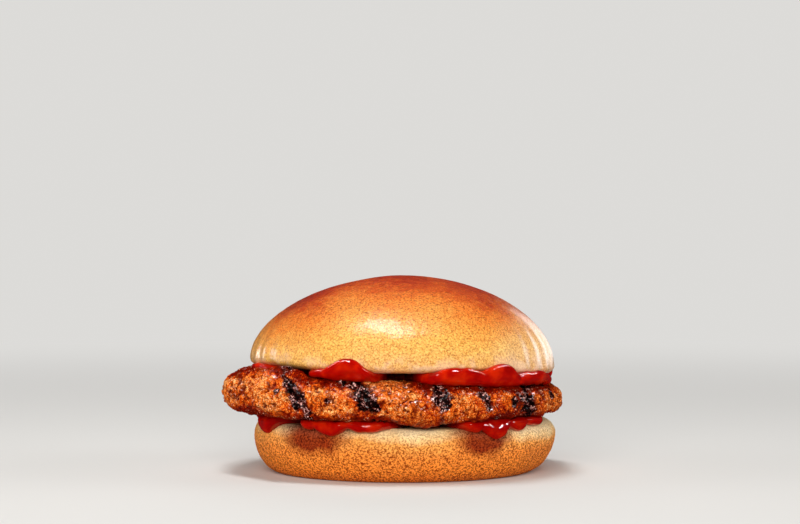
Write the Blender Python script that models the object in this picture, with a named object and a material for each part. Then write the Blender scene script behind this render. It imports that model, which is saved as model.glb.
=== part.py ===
"""A grilled sausage sandwich, stacked as the food is: the heel of a round bun, tomato sauce, a thick
grilled sausage patty, more tomato sauce and the domed crown of the bun.

Metres, +Z up, the front towards -Y. Each layer is one closed solid that stays clear of the next.
Angles are in degrees and go round +Z from +X, so the front is at 270.
"""

import math
from collections import namedtuple

import bmesh
import bpy
from mathutils import Vector, noise

MM = 0.001

# The bun: a round roll, cut across. Heights are above the table.
BUN_RADIUS = 51 * MM
HEEL_HEIGHT = 17.6 * MM
HEEL_BELLY = 12.7 * MM  # height of the heel's widest line
HEEL_FOOT_RADIUS = 42 * MM  # the flat that it stands on
HEEL_TRIM = 0.6 * MM  # the heel is this much smaller than the crown, and sits this far to the right
CROWN_BASE = 35.3 * MM  # the crown's cut face
CROWN_TOP = 65.0 * MM
CUT_EDGE = 5.4 * MM  # how far the crust rolls in towards a cut face
CROWN_ROLL = 2.5 * MM  # height of that roll on the crown
DOME_FULLNESS = 1.89  # the power of the dome's curve, where 2 is an ellipse
DOME_LEAN = 0.06  # and how much more and less it is at the right and left

# The patty: its axis is a little to the left of the bun's.
PATTY_X = -3.4 * MM
PATTY_HALF_LENGTH = 56.7 * MM
PATTY_HALF_DEPTH = 53.5 * MM
PATTY_TOP = 32.9 * MM
PATTY_BOTTOM = 20.0 * MM
PATTY_MIDDLE = 26.5 * MM
# The grooves that the bars of the grill left across the patty: X at mid height, half width, and how
# far the groove shifts along X for each height down the front rim.
Bar = namedtuple("Bar", "x half_width slant")
GRILL_BARS = (
    Bar(-51.0 * MM, 1.3 * MM, 0.5),
    Bar(-33.6 * MM, 2.6 * MM, 0.55),
    Bar(-13.0 * MM, 2.7 * MM, 0.95),
    Bar(12.6 * MM, 2.6 * MM, 0.3),
    Bar(27.4 * MM, 1.4 * MM, 0.45),
    Bar(40.4 * MM, 3.0 * MM, 0.25),
)
GROOVE_DEPTH = 1.1 * MM
GROOVE_FLARE = 1.0 * MM  # how far each groove is wider than the bar that pressed it

GAP = 0.5 * MM  # between the sauce and a flat that it lies on
CRUST_GAP = 1.1 * MM  # between the sauce and a rounded crust
PATTY_REACH = 2.2 * MM  # the sauce clears the patty's lumps this far around each of its points

# Where the patty's upper edge swells up in front of the crown: middle, half width and rise.
PATTY_RISES = ((218, 18, 2.7 * MM), (226.5, 10, 4.1 * MM), (116, 16, 1.8 * MM))
RISE_ROUNDNESS = 0.4  # the power of such a swelling's outline
# Where its under edge hangs lower over the heel: middle, half width and drop.
PATTY_SAGS = ((282, 15, 3.8 * MM), (286, 26, 2.2 * MM), (232, 16, 0.9 * MM), (60, 24, 1.6 * MM),
              (128, 20, 1.1 * MM), (330, 14, 0.8 * MM), (0, 24, 1.3 * MM))

# Where sauce shows: a lobe's middle, its half width, and how far past the edge of the cut face it
# runs, down the heel or up the crown.
Lobe = namedtuple("Lobe", "angle half_width reach")
SAUCE_RECESS = -3.0 * MM  # at the foot of a lobe
SAUCE_HOLLOW = 5.0 * MM  # how much further in it lies well away from the lobes
HOLLOW_RUN = 6  # how many degrees past a lobe's foot that depth is reached
LOWER_ROUNDNESS = 0.9  # the power of a lobe's outline: the lower, the rounder its shoulders
LOWER_LOBES = (
    Lobe(206.5, 10, 7.0 * MM),
    Lobe(232, 7, 3.2 * MM),
    Lobe(242, 11, 5.7 * MM),
    Lobe(256, 13, 4.0 * MM),
    Lobe(298, 8, 4.2 * MM),
    Lobe(306.5, 9, 7.6 * MM),
    Lobe(318, 10, 4.8 * MM),
    Lobe(331, 10, 3.4 * MM),
    Lobe(24, 12, 6.2 * MM),
    Lobe(58, 14, 4.4 * MM),
    Lobe(96, 12, 7.0 * MM),
    Lobe(138, 14, 3.8 * MM),
    Lobe(163, 10, 5.8 * MM),
)
UPPER_ROUNDNESS = 0.65
UPPER_LOBES = (
    Lobe(201, 12, 4.6 * MM),
    Lobe(239, 9, 4.0 * MM),
    Lobe(249.6, 12, 9.4 * MM),
    Lobe(291, 15, 5.4 * MM),
    Lobe(309, 12, 7.0 * MM),
    Lobe(331, 19, 5.6 * MM),
    Lobe(20, 13, 6.6 * MM),
    Lobe(64, 20, 4.8 * MM),
    Lobe(86, 14, 7.4 * MM),
    Lobe(126, 17, 5.6 * MM),
    Lobe(158, 12, 3.8 * MM),
)

# A ring of a solid: what gives its point at an angle, and how many angles it passes at a step.
Ring = namedtuple("Ring", "point step")

# Meridian folds pressed into the crown's sides: middle and half width of each pressed stretch.
FOLDED = ((206.8, 26), (330.5, 28), (75, 20), (130, 18))
FOLD_PITCH = 9.4
FOLD_DEPTH = 0.6 * MM
FOLD_TOP = 54 * MM

COLOURS = {  # base colour, roughness
    "heel": ((0.66, 0.30, 0.09), 0.7),
    "sauce_lower": ((0.42, 0.012, 0.004), 0.2),
    "patty": ((0.34, 0.11, 0.03), 0.45),
    "sauce_upper": ((0.42, 0.012, 0.004), 0.2),
    "crown": ((0.70, 0.31, 0.08), 0.4),
}


def smoothstep(low, high, value):
    """0 up to low, 1 from high on, and a smooth rise between; low may be above high."""
    share = min(1.0, max(0.0, (value - low) / (high - low)))
    return share * share * (3 - 2 * share)


def turned(angle, centre):
    """The angle from the centre, -180 to 180."""
    return (angle - centre + 180) % 360 - 180


def swell(angle, centre, half_width, power=1.2):
    """1 at the centre of a stretch of the circle, falling to 0 at its ends."""
    away = abs(turned(angle, centre)) / half_width
    return math.cos(away * math.pi / 2) ** power if away < 1 else 0.0


def spaced(first, last, count):
    """So many values from first to last, both included."""
    return [first + (last - first) * i / (count - 1) for i in range(count)]


def angles(coarse, fine=1.0, windows=()):
    """Angles round the circle, a coarse step apart, and a fine step within the windows."""
    found = [0.0]
    while found[-1] < 360:
        inside = any(swell(found[-1], middle, half) > 0 for middle, half in windows)
        found.append(found[-1] + (fine if inside else coarse))
    if 360 - found[-2] < 0.6 * coarse:
        found.pop()
    return found[:-1]


def polar(radius, angle, z):
    """A point round the bun's axis."""
    turn = math.radians(angle)
    return Vector((radius * math.cos(turn), radius * math.sin(turn), z))


def lumps(point, size, height, seed):
    """Smooth uneven relief, its lumps about that size and standing up to that height."""
    return height * noise.noise(point / size + Vector((seed, 2.3 * seed, -seed)))


# ---------------------------------------------------------------- bun


def heel_side(turn, angle, grow=0.0):
    """A point of the heel's crust: turn is -90 at the foot, 0 at the widest line, 90 at the cut."""
    rise = math.sin(math.radians(turn))
    run = math.cos(math.radians(turn))
    if turn < 0:  # a fuller curve than a circle, from the belly down to the foot
        width, height = BUN_RADIUS - HEEL_FOOT_RADIUS, HEEL_BELLY
        run, rise = run**1.1, -(abs(rise) ** 1.1)
    else:
        width, height = CUT_EDGE, HEEL_HEIGHT - HEEL_BELLY
    uneven = lumps(polar(BUN_RADIUS, angle, 0.01 * rise), 24 * MM, 0.9 * MM, 3)
    radius = BUN_RADIUS - width + width * run + (uneven + grow - HEEL_TRIM) * max(0.0, run)
    slip = Vector((HEEL_TRIM, 0, 0)) * max(0.0, run)
    return polar(radius, angle, HEEL_BELLY + (height + grow) * rise) + slip


def heel_rings():
    """The rings of points of the heel, from its foot up round the crust to its cut face."""

    def at(radius, z):
        return lambda angle: polar(radius, angle, z)

    foot = [Ring(at(0, 0), 1)]
    crust = [Ring(lambda angle, t=turn: heel_side(t, angle), 1) for turn in spaced(-90, 90, 12)]
    face = [Ring(at(share * (BUN_RADIUS - CUT_EDGE), HEEL_HEIGHT), 4) for share in (0.5, 0)]
    return foot + crust + face


def crown_base(x):
    """Height of the crown's cut face, which rides up on the left and hangs lower at both ends."""
    left_rise = 0.7 * MM * smoothstep(-15 * MM, -48 * MM, x)
    left_sag = 1.3 * MM * smoothstep(-44 * MM, -53 * MM, x)
    right_sag = 3.2 * MM * smoothstep(28 * MM, 52 * MM, x)
    return CROWN_BASE + left_rise - left_sag - right_sag


def fold(angle, z):
    """How far a pressed fold draws the crown's crust in."""
    drawn = max(swell(angle, middle, half)
                * (1 - math.cos(math.radians(360 * turned(angle, middle) / FOLD_PITCH)))
                for middle, half in FOLDED)
    return FOLD_DEPTH / 2 * drawn * (1 - smoothstep(0.7 * FOLD_TOP, FOLD_TOP, z))


def crown_roll(turn, angle, grow=0.0):
    """A point of the rolled edge: turn is -90 at the cut face and 0 at the crown's widest line. With
    grow it's a point that far outside, clear of the folds."""
    rise, run = math.sin(math.radians(turn)), math.cos(math.radians(turn))
    base = crown_base(BUN_RADIUS * math.cos(math.radians(angle)))
    drawn_in = 0 if grow else fold(angle, base)
    radius = BUN_RADIUS - CUT_EDGE + (CUT_EDGE + grow - drawn_in) * run
    return polar(radius, angle, base + CROWN_ROLL + (CROWN_ROLL + grow) * rise)


def crown_dome(climb, angle, grow=0.0):
    """A point of the dome: climb is 0 at the widest line and 90 at the top. With grow it's a point
    that far outside, clear of the folds. The dome is a little leaner on the left."""
    along = math.cos(math.radians(angle))
    power = 2 / (DOME_FULLNESS + DOME_LEAN * along)
    rise = math.sin(math.radians(climb)) ** power
    run = max(0.0, math.cos(math.radians(climb))) ** power
    base = crown_base(BUN_RADIUS * along) + CROWN_ROLL
    z = base * (1 - rise) + CROWN_TOP * rise
    uneven = lumps(polar(BUN_RADIUS, angle, 0.02 * rise), 30 * MM, 0.8 * MM, 8)
    radius = BUN_RADIUS * run + (uneven + grow) * min(1.0, 3 * run) * rise**0.5
    radius += grow * (1 - rise**0.5) - (0 if grow else fold(angle, z) * run)
    return polar(radius, angle, z)


def crown_face(share, angle, grow=0.0):
    """A point of the cut face, share 0 at its middle and 1 at its edge."""
    base = crown_base(share * BUN_RADIUS * math.cos(math.radians(angle)))
    return polar(share * (BUN_RADIUS - CUT_EDGE), angle, base - grow)


def crown_rings():
    """The rings of points of the crown, from its cut face round the edge and up over the dome."""
    face = [Ring(lambda angle, s=share: crown_face(s, angle), step)
            for share, step in ((0, 1), (0.5, 4), (0.78, 2), (0.9, 2))]
    roll = [Ring(lambda angle, t=turn: crown_roll(t, angle), 1) for turn in spaced(-90, -18, 5)]
    dome = [Ring(lambda angle, c=climb: crown_dome(c, angle), 1 if climb < 45 else 2)
            for climb in spaced(0, 90, 13)]
    return face + roll + dome


# ---------------------------------------------------------------- patty


def patty_outline(angle):
    """Distance of the rim from the patty's own axis."""
    turn = math.radians(angle)
    along, across = math.cos(turn) / PATTY_HALF_LENGTH, math.sin(turn) / PATTY_HALF_DEPTH
    oval = (abs(along) ** 2.1 + abs(across) ** 2.1) ** (-1 / 2.1)
    return oval + lumps(polar(30 * MM, angle, 0), 22 * MM, 1.6 * MM, 5) * abs(math.sin(turn))


def patty_levels(x):
    """Heights of the patty's under and upper side, which fall towards its thin right end."""
    x_bun = x + PATTY_X
    left_rise = 0.8 * MM * smoothstep(-10 * MM, -45 * MM, x_bun)
    right_fall = 2.6 * MM * smoothstep(-8 * MM, 40 * MM, x_bun)
    tip_fall = 1.6 * MM * smoothstep(37 * MM, 54 * MM, x_bun)
    return PATTY_BOTTOM, PATTY_TOP + left_rise - right_fall - tip_fall


def grill_groove(point):
    """Depth of the groove that a grill bar pressed, at a point round the patty's own axis."""
    down = min(6.5 * MM, max(-6.5 * MM, PATTY_MIDDLE - point.z)) if point.y < 0 else 0
    nearest = min(abs(point.x + PATTY_X - bar.x - bar.slant * down) / (bar.half_width + GROOVE_FLARE)
                  for bar in GRILL_BARS)
    strength = 0.6 + 0.4 * noise.noise(point / (12 * MM))
    return GROOVE_DEPTH * strength * math.exp(-(nearest**2))


def patty_point(angle, turn, inward=0.0):
    """A point of the patty: turn is -90 under, 0 at the rim and 90 on top; inward is the share of
    the way from the start of the rim to the middle."""
    outline = patty_outline(angle)
    way = math.radians(angle)
    low, high = patty_levels(outline * math.cos(way))
    half = (high - low) / 2
    rise, run = math.sin(math.radians(turn)), math.cos(math.radians(turn))
    radius = (outline - half) * (1 - inward) + half * run
    low, high = patty_levels(radius * math.cos(way))
    overhang = smoothstep(outline - 0.9 * half, outline - 0.3 * half, radius)
    low -= overhang * max(drop * swell(angle, middle, wide) for middle, wide, drop in PATTY_SAGS)
    shoulder = smoothstep(outline - 1.25 * half, outline - 0.65 * half, radius)
    high += shoulder * max(lift * swell(angle, middle, wide, RISE_ROUNDNESS)
                           for middle, wide, lift in PATTY_RISES)
    point = polar(radius, angle, (low + high) / 2 + (high - low) / 2 * rise)
    relief = lumps(point, 10 * MM, 1.5 * MM, 1) + lumps(point, 4.6 * MM, 0.6 * MM, 7)
    relief = (relief - grill_groove(point)) * (0.08 + 0.92 * run**1.3)
    point += relief * Vector((run * math.cos(way), run * math.sin(way), rise))
    return point + Vector((PATTY_X, 0, 0))


def patty_face(x, y, side):
    """Height of the patty's upper (side 1) or under (side -1) surface above a point."""
    radius = math.hypot(x - PATTY_X, y)
    angle = math.degrees(math.atan2(y, x - PATTY_X))
    outline = patty_outline(angle)
    low, high = patty_levels(outline * math.cos(math.radians(angle)))
    half = (high - low) / 2
    past = min(1.0, max(0.0, (radius - outline + half) / half))
    if past > 0:
        return patty_point(angle, side * math.degrees(math.acos(past))).z
    return patty_point(angle, side * 90, 1 - radius / (outline - half)).z


def patty_clear(x, y, side):
    """Height that keeps the sauce clear of the patty's upper or under side around a point."""
    shifts = ((0, 0), (1, 0), (-1, 0), (0, 1), (0, -1))
    heights = [side * patty_face(x + PATTY_REACH * i, y + PATTY_REACH * j, side) for i, j in shifts]
    return side * (max(heights) + GAP)


def patty_rings():
    """The rings of points of the patty, from the middle of its under side round the rim."""
    under, top = (
        [Ring(lambda angle, i=inward, t=turn: patty_point(angle, t, i), step)
         for inward, step in ((1, 1), (0.5, 8), (0.14, 3))]
        for turn in (-90, 90)
    )
    rim = [Ring(lambda angle, t=turn: patty_point(angle, t), 1) for turn in spaced(-90, 90, 14)]
    return under + rim + top[::-1]


# ---------------------------------------------------------------- sauce


def reach_at(angle, lobes, roundness):
    """How far past the cut face's edge the sauce runs, and the strength of the lobe there."""
    best = max(swell(angle, lobe.angle, lobe.half_width, roundness) * (lobe.reach - SAUCE_RECESS)
               for lobe in lobes)
    beyond = min(abs(turned(angle, lobe.angle)) - lobe.half_width for lobe in lobes)
    hollow = SAUCE_HOLLOW * smoothstep(0, HOLLOW_RUN, beyond)
    return SAUCE_RECESS + best - hollow, smoothstep(0, -2 * SAUCE_RECESS, best)


def crust_gap(turn):
    """How far the sauce stays off a rolled edge, where turn is 90 or -90 at the cut face."""
    return GAP + (CRUST_GAP - GAP) * math.cos(math.radians(turn))


def along_heel(distance, angle):
    """A point just above the heel, so far past the edge of its cut face."""
    edge = BUN_RADIUS - CUT_EDGE
    if distance <= 0:
        return polar(edge + distance, angle, HEEL_HEIGHT + GAP)
    turn = 90 - math.degrees(distance / CUT_EDGE)
    return heel_side(turn, angle, crust_gap(turn))


def along_crown(distance, angle):
    """A point just outside the crown, so far past the edge of its cut face."""
    edge = BUN_RADIUS - CUT_EDGE
    roll_length = 1.2 * CUT_EDGE
    if distance <= 0:
        return crown_face(1 + distance / edge, angle, GAP)
    if distance < roll_length:
        turn = -90 * (1 - distance / roll_length)
        return crown_roll(turn, angle, crust_gap(turn))
    climb = math.degrees((distance - roll_length) / (CROWN_TOP - CROWN_BASE))
    return crown_dome(climb, angle, CRUST_GAP)


def bezier(share, points):
    """A point of the cubic Bezier curve on four points."""
    weights = ((1 - share) ** 3, 3 * share * (1 - share) ** 2, 3 * share**2 * (1 - share), share**3)
    return sum((weight * point for weight, point in zip(weights, points)), Vector())


def sauce_section(angle, lobes, roundness, along, side):
    """The sauce's cut at an angle, from the middle of the bread along it, round the rim, and back
    along the patty's side (1 on top, -1 under)."""
    reach, strength = reach_at(angle, lobes, roundness)
    edge = BUN_RADIUS - CUT_EDGE
    inside = (-edge, -0.5 * edge, min(-0.12 * edge, 1.5 * reach))
    covered = spaced(min(0, 1.2 * reach), reach, 7)
    on_bread = [along(distance, angle) for distance in (*inside, *covered)]
    contact = edge + min(SAUCE_RECESS, reach) + 6 * MM * strength
    on_patty = []
    for radius in (contact, contact - 4 * MM, 0.5 * contact, 0):
        foot = polar(radius, angle, 0)
        on_patty.append(Vector((foot.x, foot.y, patty_clear(foot.x, foot.y, side))))
    bulge = (0.9 + 2.4 * strength) * MM * polar(1, angle, 0)
    start, end = on_bread[-1], on_patty[0]
    handles = (start, start + bulge, end + 0.9 * bulge, end)
    skin = [bezier(share, handles) for share in (0.25, 0.5, 0.75)]
    return on_bread + skin + on_patty


def sauce_rings(lobes, roundness, along, side, turns):
    """The same points ring by ring, from the bread's side round to the patty's."""
    sections = {angle: sauce_section(angle, lobes, roundness, along, side) for angle in turns}
    count = len(sections[turns[0]])
    steps = {1: 6, count - 2: 6, count - 3: 2}
    return [Ring(lambda angle, i=index: sections[angle][i], steps.get(index, 1))
            for index in range(count)]


# ---------------------------------------------------------------- solids


def material(name):
    """The layer's own colour and roughness."""
    colour, roughness = COLOURS[name]
    made = bpy.data.materials.new(name)
    made.use_nodes = True
    shader = made.node_tree.nodes["Principled BSDF"]
    shader.inputs["Base Color"].default_value = (*colour, 1)
    shader.inputs["Roughness"].default_value = roughness
    return made


def bridge(mesh, lower, upper, count):
    """Faces between two rings of (place, vertex), the places counted round from 0 to count."""
    lower, upper = ([*ring, (count, ring[0][1])] for ring in (lower, upper))
    i = j = 0
    while i < len(lower) - 1 or j < len(upper) - 1:
        corners = [lower[i][1], upper[j][1]]
        next_lower = lower[i + 1][0] if i < len(lower) - 1 else math.inf
        next_upper = upper[j + 1][0] if j < len(upper) - 1 else math.inf
        if next_upper <= next_lower:
            j += 1
            corners.append(upper[j][1])
        if next_lower <= next_upper:
            i += 1
            corners.append(lower[i][1])
        mesh.faces.new(corners)


def solid(name, rings, turns):
    """One closed solid from rings of points; the first and the last ring are single points."""
    mesh = bmesh.new()
    rows = [[(i, mesh.verts.new(ring.point(turns[i]))) for i in range(0, len(turns), ring.step)]
            for ring in rings[1:-1]]
    for lower, upper in zip(rows, rows[1:]):
        bridge(mesh, lower, upper, len(turns))
    for ring, row in ((rings[0], rows[0]), (rings[-1], rows[-1])):
        pole = mesh.verts.new(ring.point(turns[0]))
        for (_, near), (_, far) in zip(row, row[1:] + row[:1]):
            mesh.faces.new((pole, near, far))
    bmesh.ops.recalc_face_normals(mesh, faces=mesh.faces)
    data = bpy.data.meshes.new(name)
    mesh.to_mesh(data)
    mesh.free()
    data.shade_smooth()
    data.materials.append(material(name))
    made = bpy.data.objects.new(name, data)
    bpy.context.scene.collection.objects.link(made)
    return made


def centre_over_origin(layers):
    """Moves the sandwich so that the middle of its length and depth is over the origin."""
    points = [vertex.co for layer in layers for vertex in layer.data.vertices]
    for axis in (0, 1):
        values = [point[axis] for point in points]
        middle = (min(values) + max(values)) / 2
        for layer in layers:
            layer.location[axis] = -middle


def main():
    for old in list(bpy.data.objects):
        bpy.data.objects.remove(old)
    bread_turns = angles(5)
    layers = [
        solid("heel", heel_rings(), bread_turns),
        solid("patty", patty_rings(), angles(3)),
        solid("crown", crown_rings(), angles(5, 2.5, FOLDED)),
    ]
    sauces = (
        ("sauce_lower", LOWER_LOBES, LOWER_ROUNDNESS, along_heel, -1),
        ("sauce_upper", UPPER_LOBES, UPPER_ROUNDNESS, along_crown, 1),
    )
    for name, lobes, roundness, along, side in sauces:
        turns = angles(5, 3.2, [(lobe.angle, lobe.half_width) for lobe in lobes])
        layers.append(solid(name, sauce_rings(lobes, roundness, along, side, turns), turns))
    centre_over_origin(layers)


main()
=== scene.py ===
"""The looks of the sausage sandwich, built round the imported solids.

Lengths are in metres unless said. Shapes are worked out round the bun's own axis, with angles in
degrees from +X towards +Y, so the front is at 270, and then moved to where the solids are.
"""

import math

import bpy
import numpy as np
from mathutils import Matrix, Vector, noise


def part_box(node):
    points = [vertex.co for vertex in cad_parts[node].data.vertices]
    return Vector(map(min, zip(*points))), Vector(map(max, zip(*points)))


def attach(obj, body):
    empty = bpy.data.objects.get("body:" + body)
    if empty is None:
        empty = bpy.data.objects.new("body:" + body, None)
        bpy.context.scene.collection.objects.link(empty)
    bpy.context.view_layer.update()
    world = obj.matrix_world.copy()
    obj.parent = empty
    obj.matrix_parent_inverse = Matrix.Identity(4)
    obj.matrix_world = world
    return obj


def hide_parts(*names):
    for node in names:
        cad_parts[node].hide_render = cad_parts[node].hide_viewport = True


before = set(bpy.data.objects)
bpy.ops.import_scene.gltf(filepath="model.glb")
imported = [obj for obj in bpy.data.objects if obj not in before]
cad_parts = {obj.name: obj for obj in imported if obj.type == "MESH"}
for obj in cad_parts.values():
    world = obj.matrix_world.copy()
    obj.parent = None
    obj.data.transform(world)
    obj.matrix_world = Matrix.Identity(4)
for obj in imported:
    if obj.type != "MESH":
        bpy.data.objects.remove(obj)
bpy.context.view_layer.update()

MM = 0.001

# ---------------------------------------------------------------- sizes, as in the solids

BUN_RADIUS = 51 * MM
HEEL_HEIGHT = 17.6 * MM
HEEL_BELLY = 12.7 * MM
HEEL_FOOT_RADIUS = 42 * MM
HEEL_TRIM = 0.6 * MM
CROWN_BASE = 35.3 * MM
CROWN_TOP = 65.0 * MM
CUT_EDGE = 5.4 * MM
CUT_RADIUS = BUN_RADIUS - CUT_EDGE
CROWN_ROLL = 2.5 * MM
DOME_FULLNESS = 1.89
DOME_LEAN = 0.06

PATTY_X = -3.4 * MM
PATTY_HALF_LENGTH = 56.7 * MM
PATTY_HALF_DEPTH = 53.5 * MM
PATTY_TOP = 32.9 * MM
PATTY_BOTTOM = 20.0 * MM
OVAL_POWER = 2.1
# Where the patty's rim is lifted, and where it sags: middle, half width, and how far.
PATTY_RISES = ((218, 18, 2.7 * MM), (226.5, 10, 4.1 * MM), (116, 16, 1.8 * MM))
RISE_ROUNDNESS = 0.4
PATTY_SAGS = ((282, 15, 3.8 * MM), (286, 26, 2.2 * MM), (232, 16, 0.9 * MM), (60, 24, 1.6 * MM),
              (128, 20, 1.1 * MM), (330, 14, 0.8 * MM), (0, 24, 1.3 * MM))

SAUCE_RECESS = -3.0 * MM  # where the sauce ends at the sides of a lobe, from the edge of the cut face
SAUCE_HOLLOW = 5.0 * MM  # how much further in it ends between lobes that are apart
HOLLOW_RUN = 6  # the angle past a lobe at which it has got there
SUNK_IN_BREAD = 0.12 * MM  # how deep the sauce sits in its neighbours, so that no gap shows
SUNK_IN_PATTY = 0.1 * MM
# Where sauce shows: middle, half width, and how far it runs past the edge of the bread's cut face,
# in mm.
LOWER_LOBES = (
    (206.5, 10, 7.0), (232, 7, 3.2), (242, 11, 5.7), (256, 13, 4.0), (298, 8, 4.2), (306.5, 9, 7.6),
    (318, 10, 4.8), (331, 10, 3.4), (24, 12, 6.2), (58, 14, 4.4), (96, 12, 7.0), (138, 14, 3.8),
    (163, 10, 5.8),
)
LOWER_ROUNDNESS = 0.9  # the power of a lobe's outline: the lower, the rounder its shoulders
UPPER_ROUNDNESS = 0.65
UPPER_LOBES = (
    (201, 12, 4.6), (239, 9, 4.0), (249.6, 12, 9.4), (291, 15, 5.4), (309, 12, 7.0), (331, 19, 5.6),
    (20, 13, 6.6), (64, 20, 4.8), (86, 14, 7.4), (126, 17, 5.6), (158, 12, 3.8),
)

# Where the heel is darker below the drips, partly sauce soaking in, partly painted shadow: middle, half
# width, and how far it runs down, in mm.
STAINS_AND_SHADOWS = ((234, 19, 10.5), (302, 15, 11), (24, 16, 9), (96, 18, 9.5), (163, 13, 8))

# Where the crown's side is pressed into folds: middle and half width of each stretch.
FOLDED = ((206.8, 26), (330.5, 28), (75, 20), (130, 18))
FOLD_PITCH = 9.4
FOLD_DEPTH = 0.6 * MM
FOLD_TOP = 54 * MM

PATTY_MIDDLE = 26.5 * MM
SLANT_REACH = 6.5 * MM  # how far above and below the middle the bars' marks are slanted
# The bars of the grill, which pressed a groove each right across the patty: X at mid height and half
# width, in mm, and how much X changes with the height down the front rim.
BARS = (
    (-51.0, 1.3, 0.5), (-33.6, 2.6, 0.55), (-13.0, 2.7, 0.95), (12.6, 2.6, 0.3),
    (27.4, 1.4, 0.45), (40.4, 3.0, 0.25),
)
GROOVE_DEPTH = 1.1 * MM
GROOVE_FLARE = 1.0 * MM
RIM_DEGREE = math.radians(53)  # the length of a degree round the patty's rim, in mm
# Smaller scorched spots on the rim: angle, height and radius in mm.
SPOTS = (
    (228.7, 29.3, 1.1), (247.5, 26.7, 0.9), (315.8, 25.7, 2.0), (261.8, 26.6, 3.4), (287.4, 27.5, 3.4),
    (259.2, 30.2, 2.6), (256.2, 32.2, 2.2), (264.5, 24.6, 1.6),
    (236.5, 26.6, 3.2), (215, 30.5, 1.0), (340, 27, 1.6),
    (20, 27, 2.6), (48, 25, 1.8), (76, 28, 3.2), (101, 26, 2.2), (122, 29, 1.5), (149, 26, 3.0),
    (170, 28, 1.6), (188, 24, 1.2),
)
# Where the patty's upper edge stays pale: middle and half width of the stretch, and its height in mm.
PALE_FOLD = (268.5, 10, 29.6)
NOSE_PALER = 0.6  # how much less scorched the nose is, beyond the first broad bar
NOSE = (-43 * MM, -47 * MM)  # the X at which it starts, and at which it is that much paler

# Unevenness of the base forms: the size of its lumps, their height, and the seed.
HEEL_UNEVEN = (24 * MM, 0.9 * MM, 3)
CROWN_UNEVEN = (30 * MM, 0.8 * MM, 8)
OUTLINE_UNEVEN = (22 * MM, 1.6 * MM, 5)
PATTY_LUMPS = (10 * MM, 1.5 * MM, 1)
PATTY_KNOBS = (4.6 * MM, 0.6 * MM, 7)

# Finer relief, in layers of smooth noise: height and size of the lumps in mm, seed, and octaves.
HEEL_RELIEF = ((0.10, 3.2, 11, 2), (0.07, 1.1, 12, 2), (0.20, 9, 13, 1))
CROWN_RELIEF = ((0.05, 2.6, 21, 2), (0.035, 0.9, 22, 2), (0.16, 12, 23, 1))
PATTY_RELIEF = ((0.50, 4.5, 42, 2), (0.06, 1.1, 49, 2))

# How fine the meshes are: rings up each stretch, and points round a ring.
HEEL_RINGS = 84
HEEL_AROUND = 500
ROLL_RINGS = 16
DOME_RINGS = 118
CROWN_AROUND = 512
PATTY_RINGS = 88
PATTY_AROUND = 900
COVERED_RINGS = 14
BULGE_RINGS = 22
SAUCE_AROUND = 720
FOOT_RINGS = (20 * MM, 36 * MM, 40 * MM)
FACE_RINGS = (0.5, 0.8, 0.9, 0.96)  # shares of a cut face's radius
PATTY_FACE_RINGS = (0.5, 0.3, 0.2, 0.14, 0.10, 0.07, 0.045, 0.02)  # shares of the way in


def smoothstep(low, high, value):
    share = np.clip((value - low) / (high - low), 0.0, 1.0)
    return share * share * (3 - 2 * share)


def soft(low, high, value):
    """smoothstep of one number, quicker than numpy's."""
    share = min(1.0, max(0.0, (value - low) / (high - low)))
    return share * share * (3 - 2 * share)


def turned(angle, centre):
    """The angle from the centre, -180 to 180."""
    return (angle - centre + 180) % 360 - 180


def swell(angle, centre, half_width, power=1.2):
    """A round bump: 1 at its centre, 0 from half its width on."""
    away = abs(turned(angle, centre)) / half_width
    return math.cos(away * math.pi / 2) ** power if away < 1 else 0.0


def polar(radius, angle, z):
    turn = math.radians(angle)
    return Vector((radius * math.cos(turn), radius * math.sin(turn), z))


def lumps(point, size, height, seed):
    return height * noise.noise(point / size + Vector((seed, 2.3 * seed, -seed)))


def field(points, size, seed, octaves=1):
    """Smooth noise of about -1 to 1 at many points, its lumps about that size."""
    shift = Vector((seed, 2.3 * seed, -seed))
    if octaves == 1:
        return np.array([noise.noise(Vector(p) / size + shift) for p in points])
    return np.array([noise.fractal(Vector(p) / size + shift, 0.6, 2.1, octaves) for p in points])


def creases(points, size, seed, width):
    """Winding creases, puffs of about that size apart: 1 along their floors, 0 on the puffs."""
    drift = np.stack([field(points, 1.6 * size, seed + k, 2) for k in (1, 2, 3)], axis=1)
    return 1 - smoothstep(0.0, width, np.abs(field(points + 0.9 * size * drift, size, seed)))


# ---------------------------------------------------------------- base surfaces, as in the solids


def heel_side(turn, angle, grow=0.0):
    """A point of the heel's side, from its foot at -90 to its cut face at 90, stood off by grow."""
    rise = math.sin(math.radians(turn))
    run = math.cos(math.radians(turn))
    if turn < 0:
        width, height = BUN_RADIUS - HEEL_FOOT_RADIUS, HEEL_BELLY
        run, rise = max(0.0, run) ** 1.1, -(abs(rise) ** 1.1)
    else:
        width, height = CUT_EDGE, HEEL_HEIGHT - HEEL_BELLY
    uneven = lumps(polar(BUN_RADIUS, angle, 10 * MM * rise), *HEEL_UNEVEN)
    radius = BUN_RADIUS - width + width * run + (uneven + grow - HEEL_TRIM) * max(0.0, run)
    slip = Vector((HEEL_TRIM, 0, 0)) * max(0.0, run)
    return polar(radius, angle, HEEL_BELLY + (height + grow) * rise) + slip


def crown_base(x):
    left_rise = 0.7 * MM * soft(-15 * MM, -48 * MM, x)
    left_sag = 1.3 * MM * soft(-44 * MM, -53 * MM, x)
    right_sag = 3.2 * MM * soft(28 * MM, 52 * MM, x)
    return CROWN_BASE + left_rise - left_sag - right_sag


def fold(angle, z):
    """How far the crown's side is drawn in by its folds."""
    drawn = max(swell(angle, middle, half)
                * (1 - math.cos(math.radians(360 * turned(angle, middle) / FOLD_PITCH)))
                for middle, half in FOLDED)
    return FOLD_DEPTH / 2 * drawn * (1 - soft(0.7 * FOLD_TOP, FOLD_TOP, z))


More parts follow.
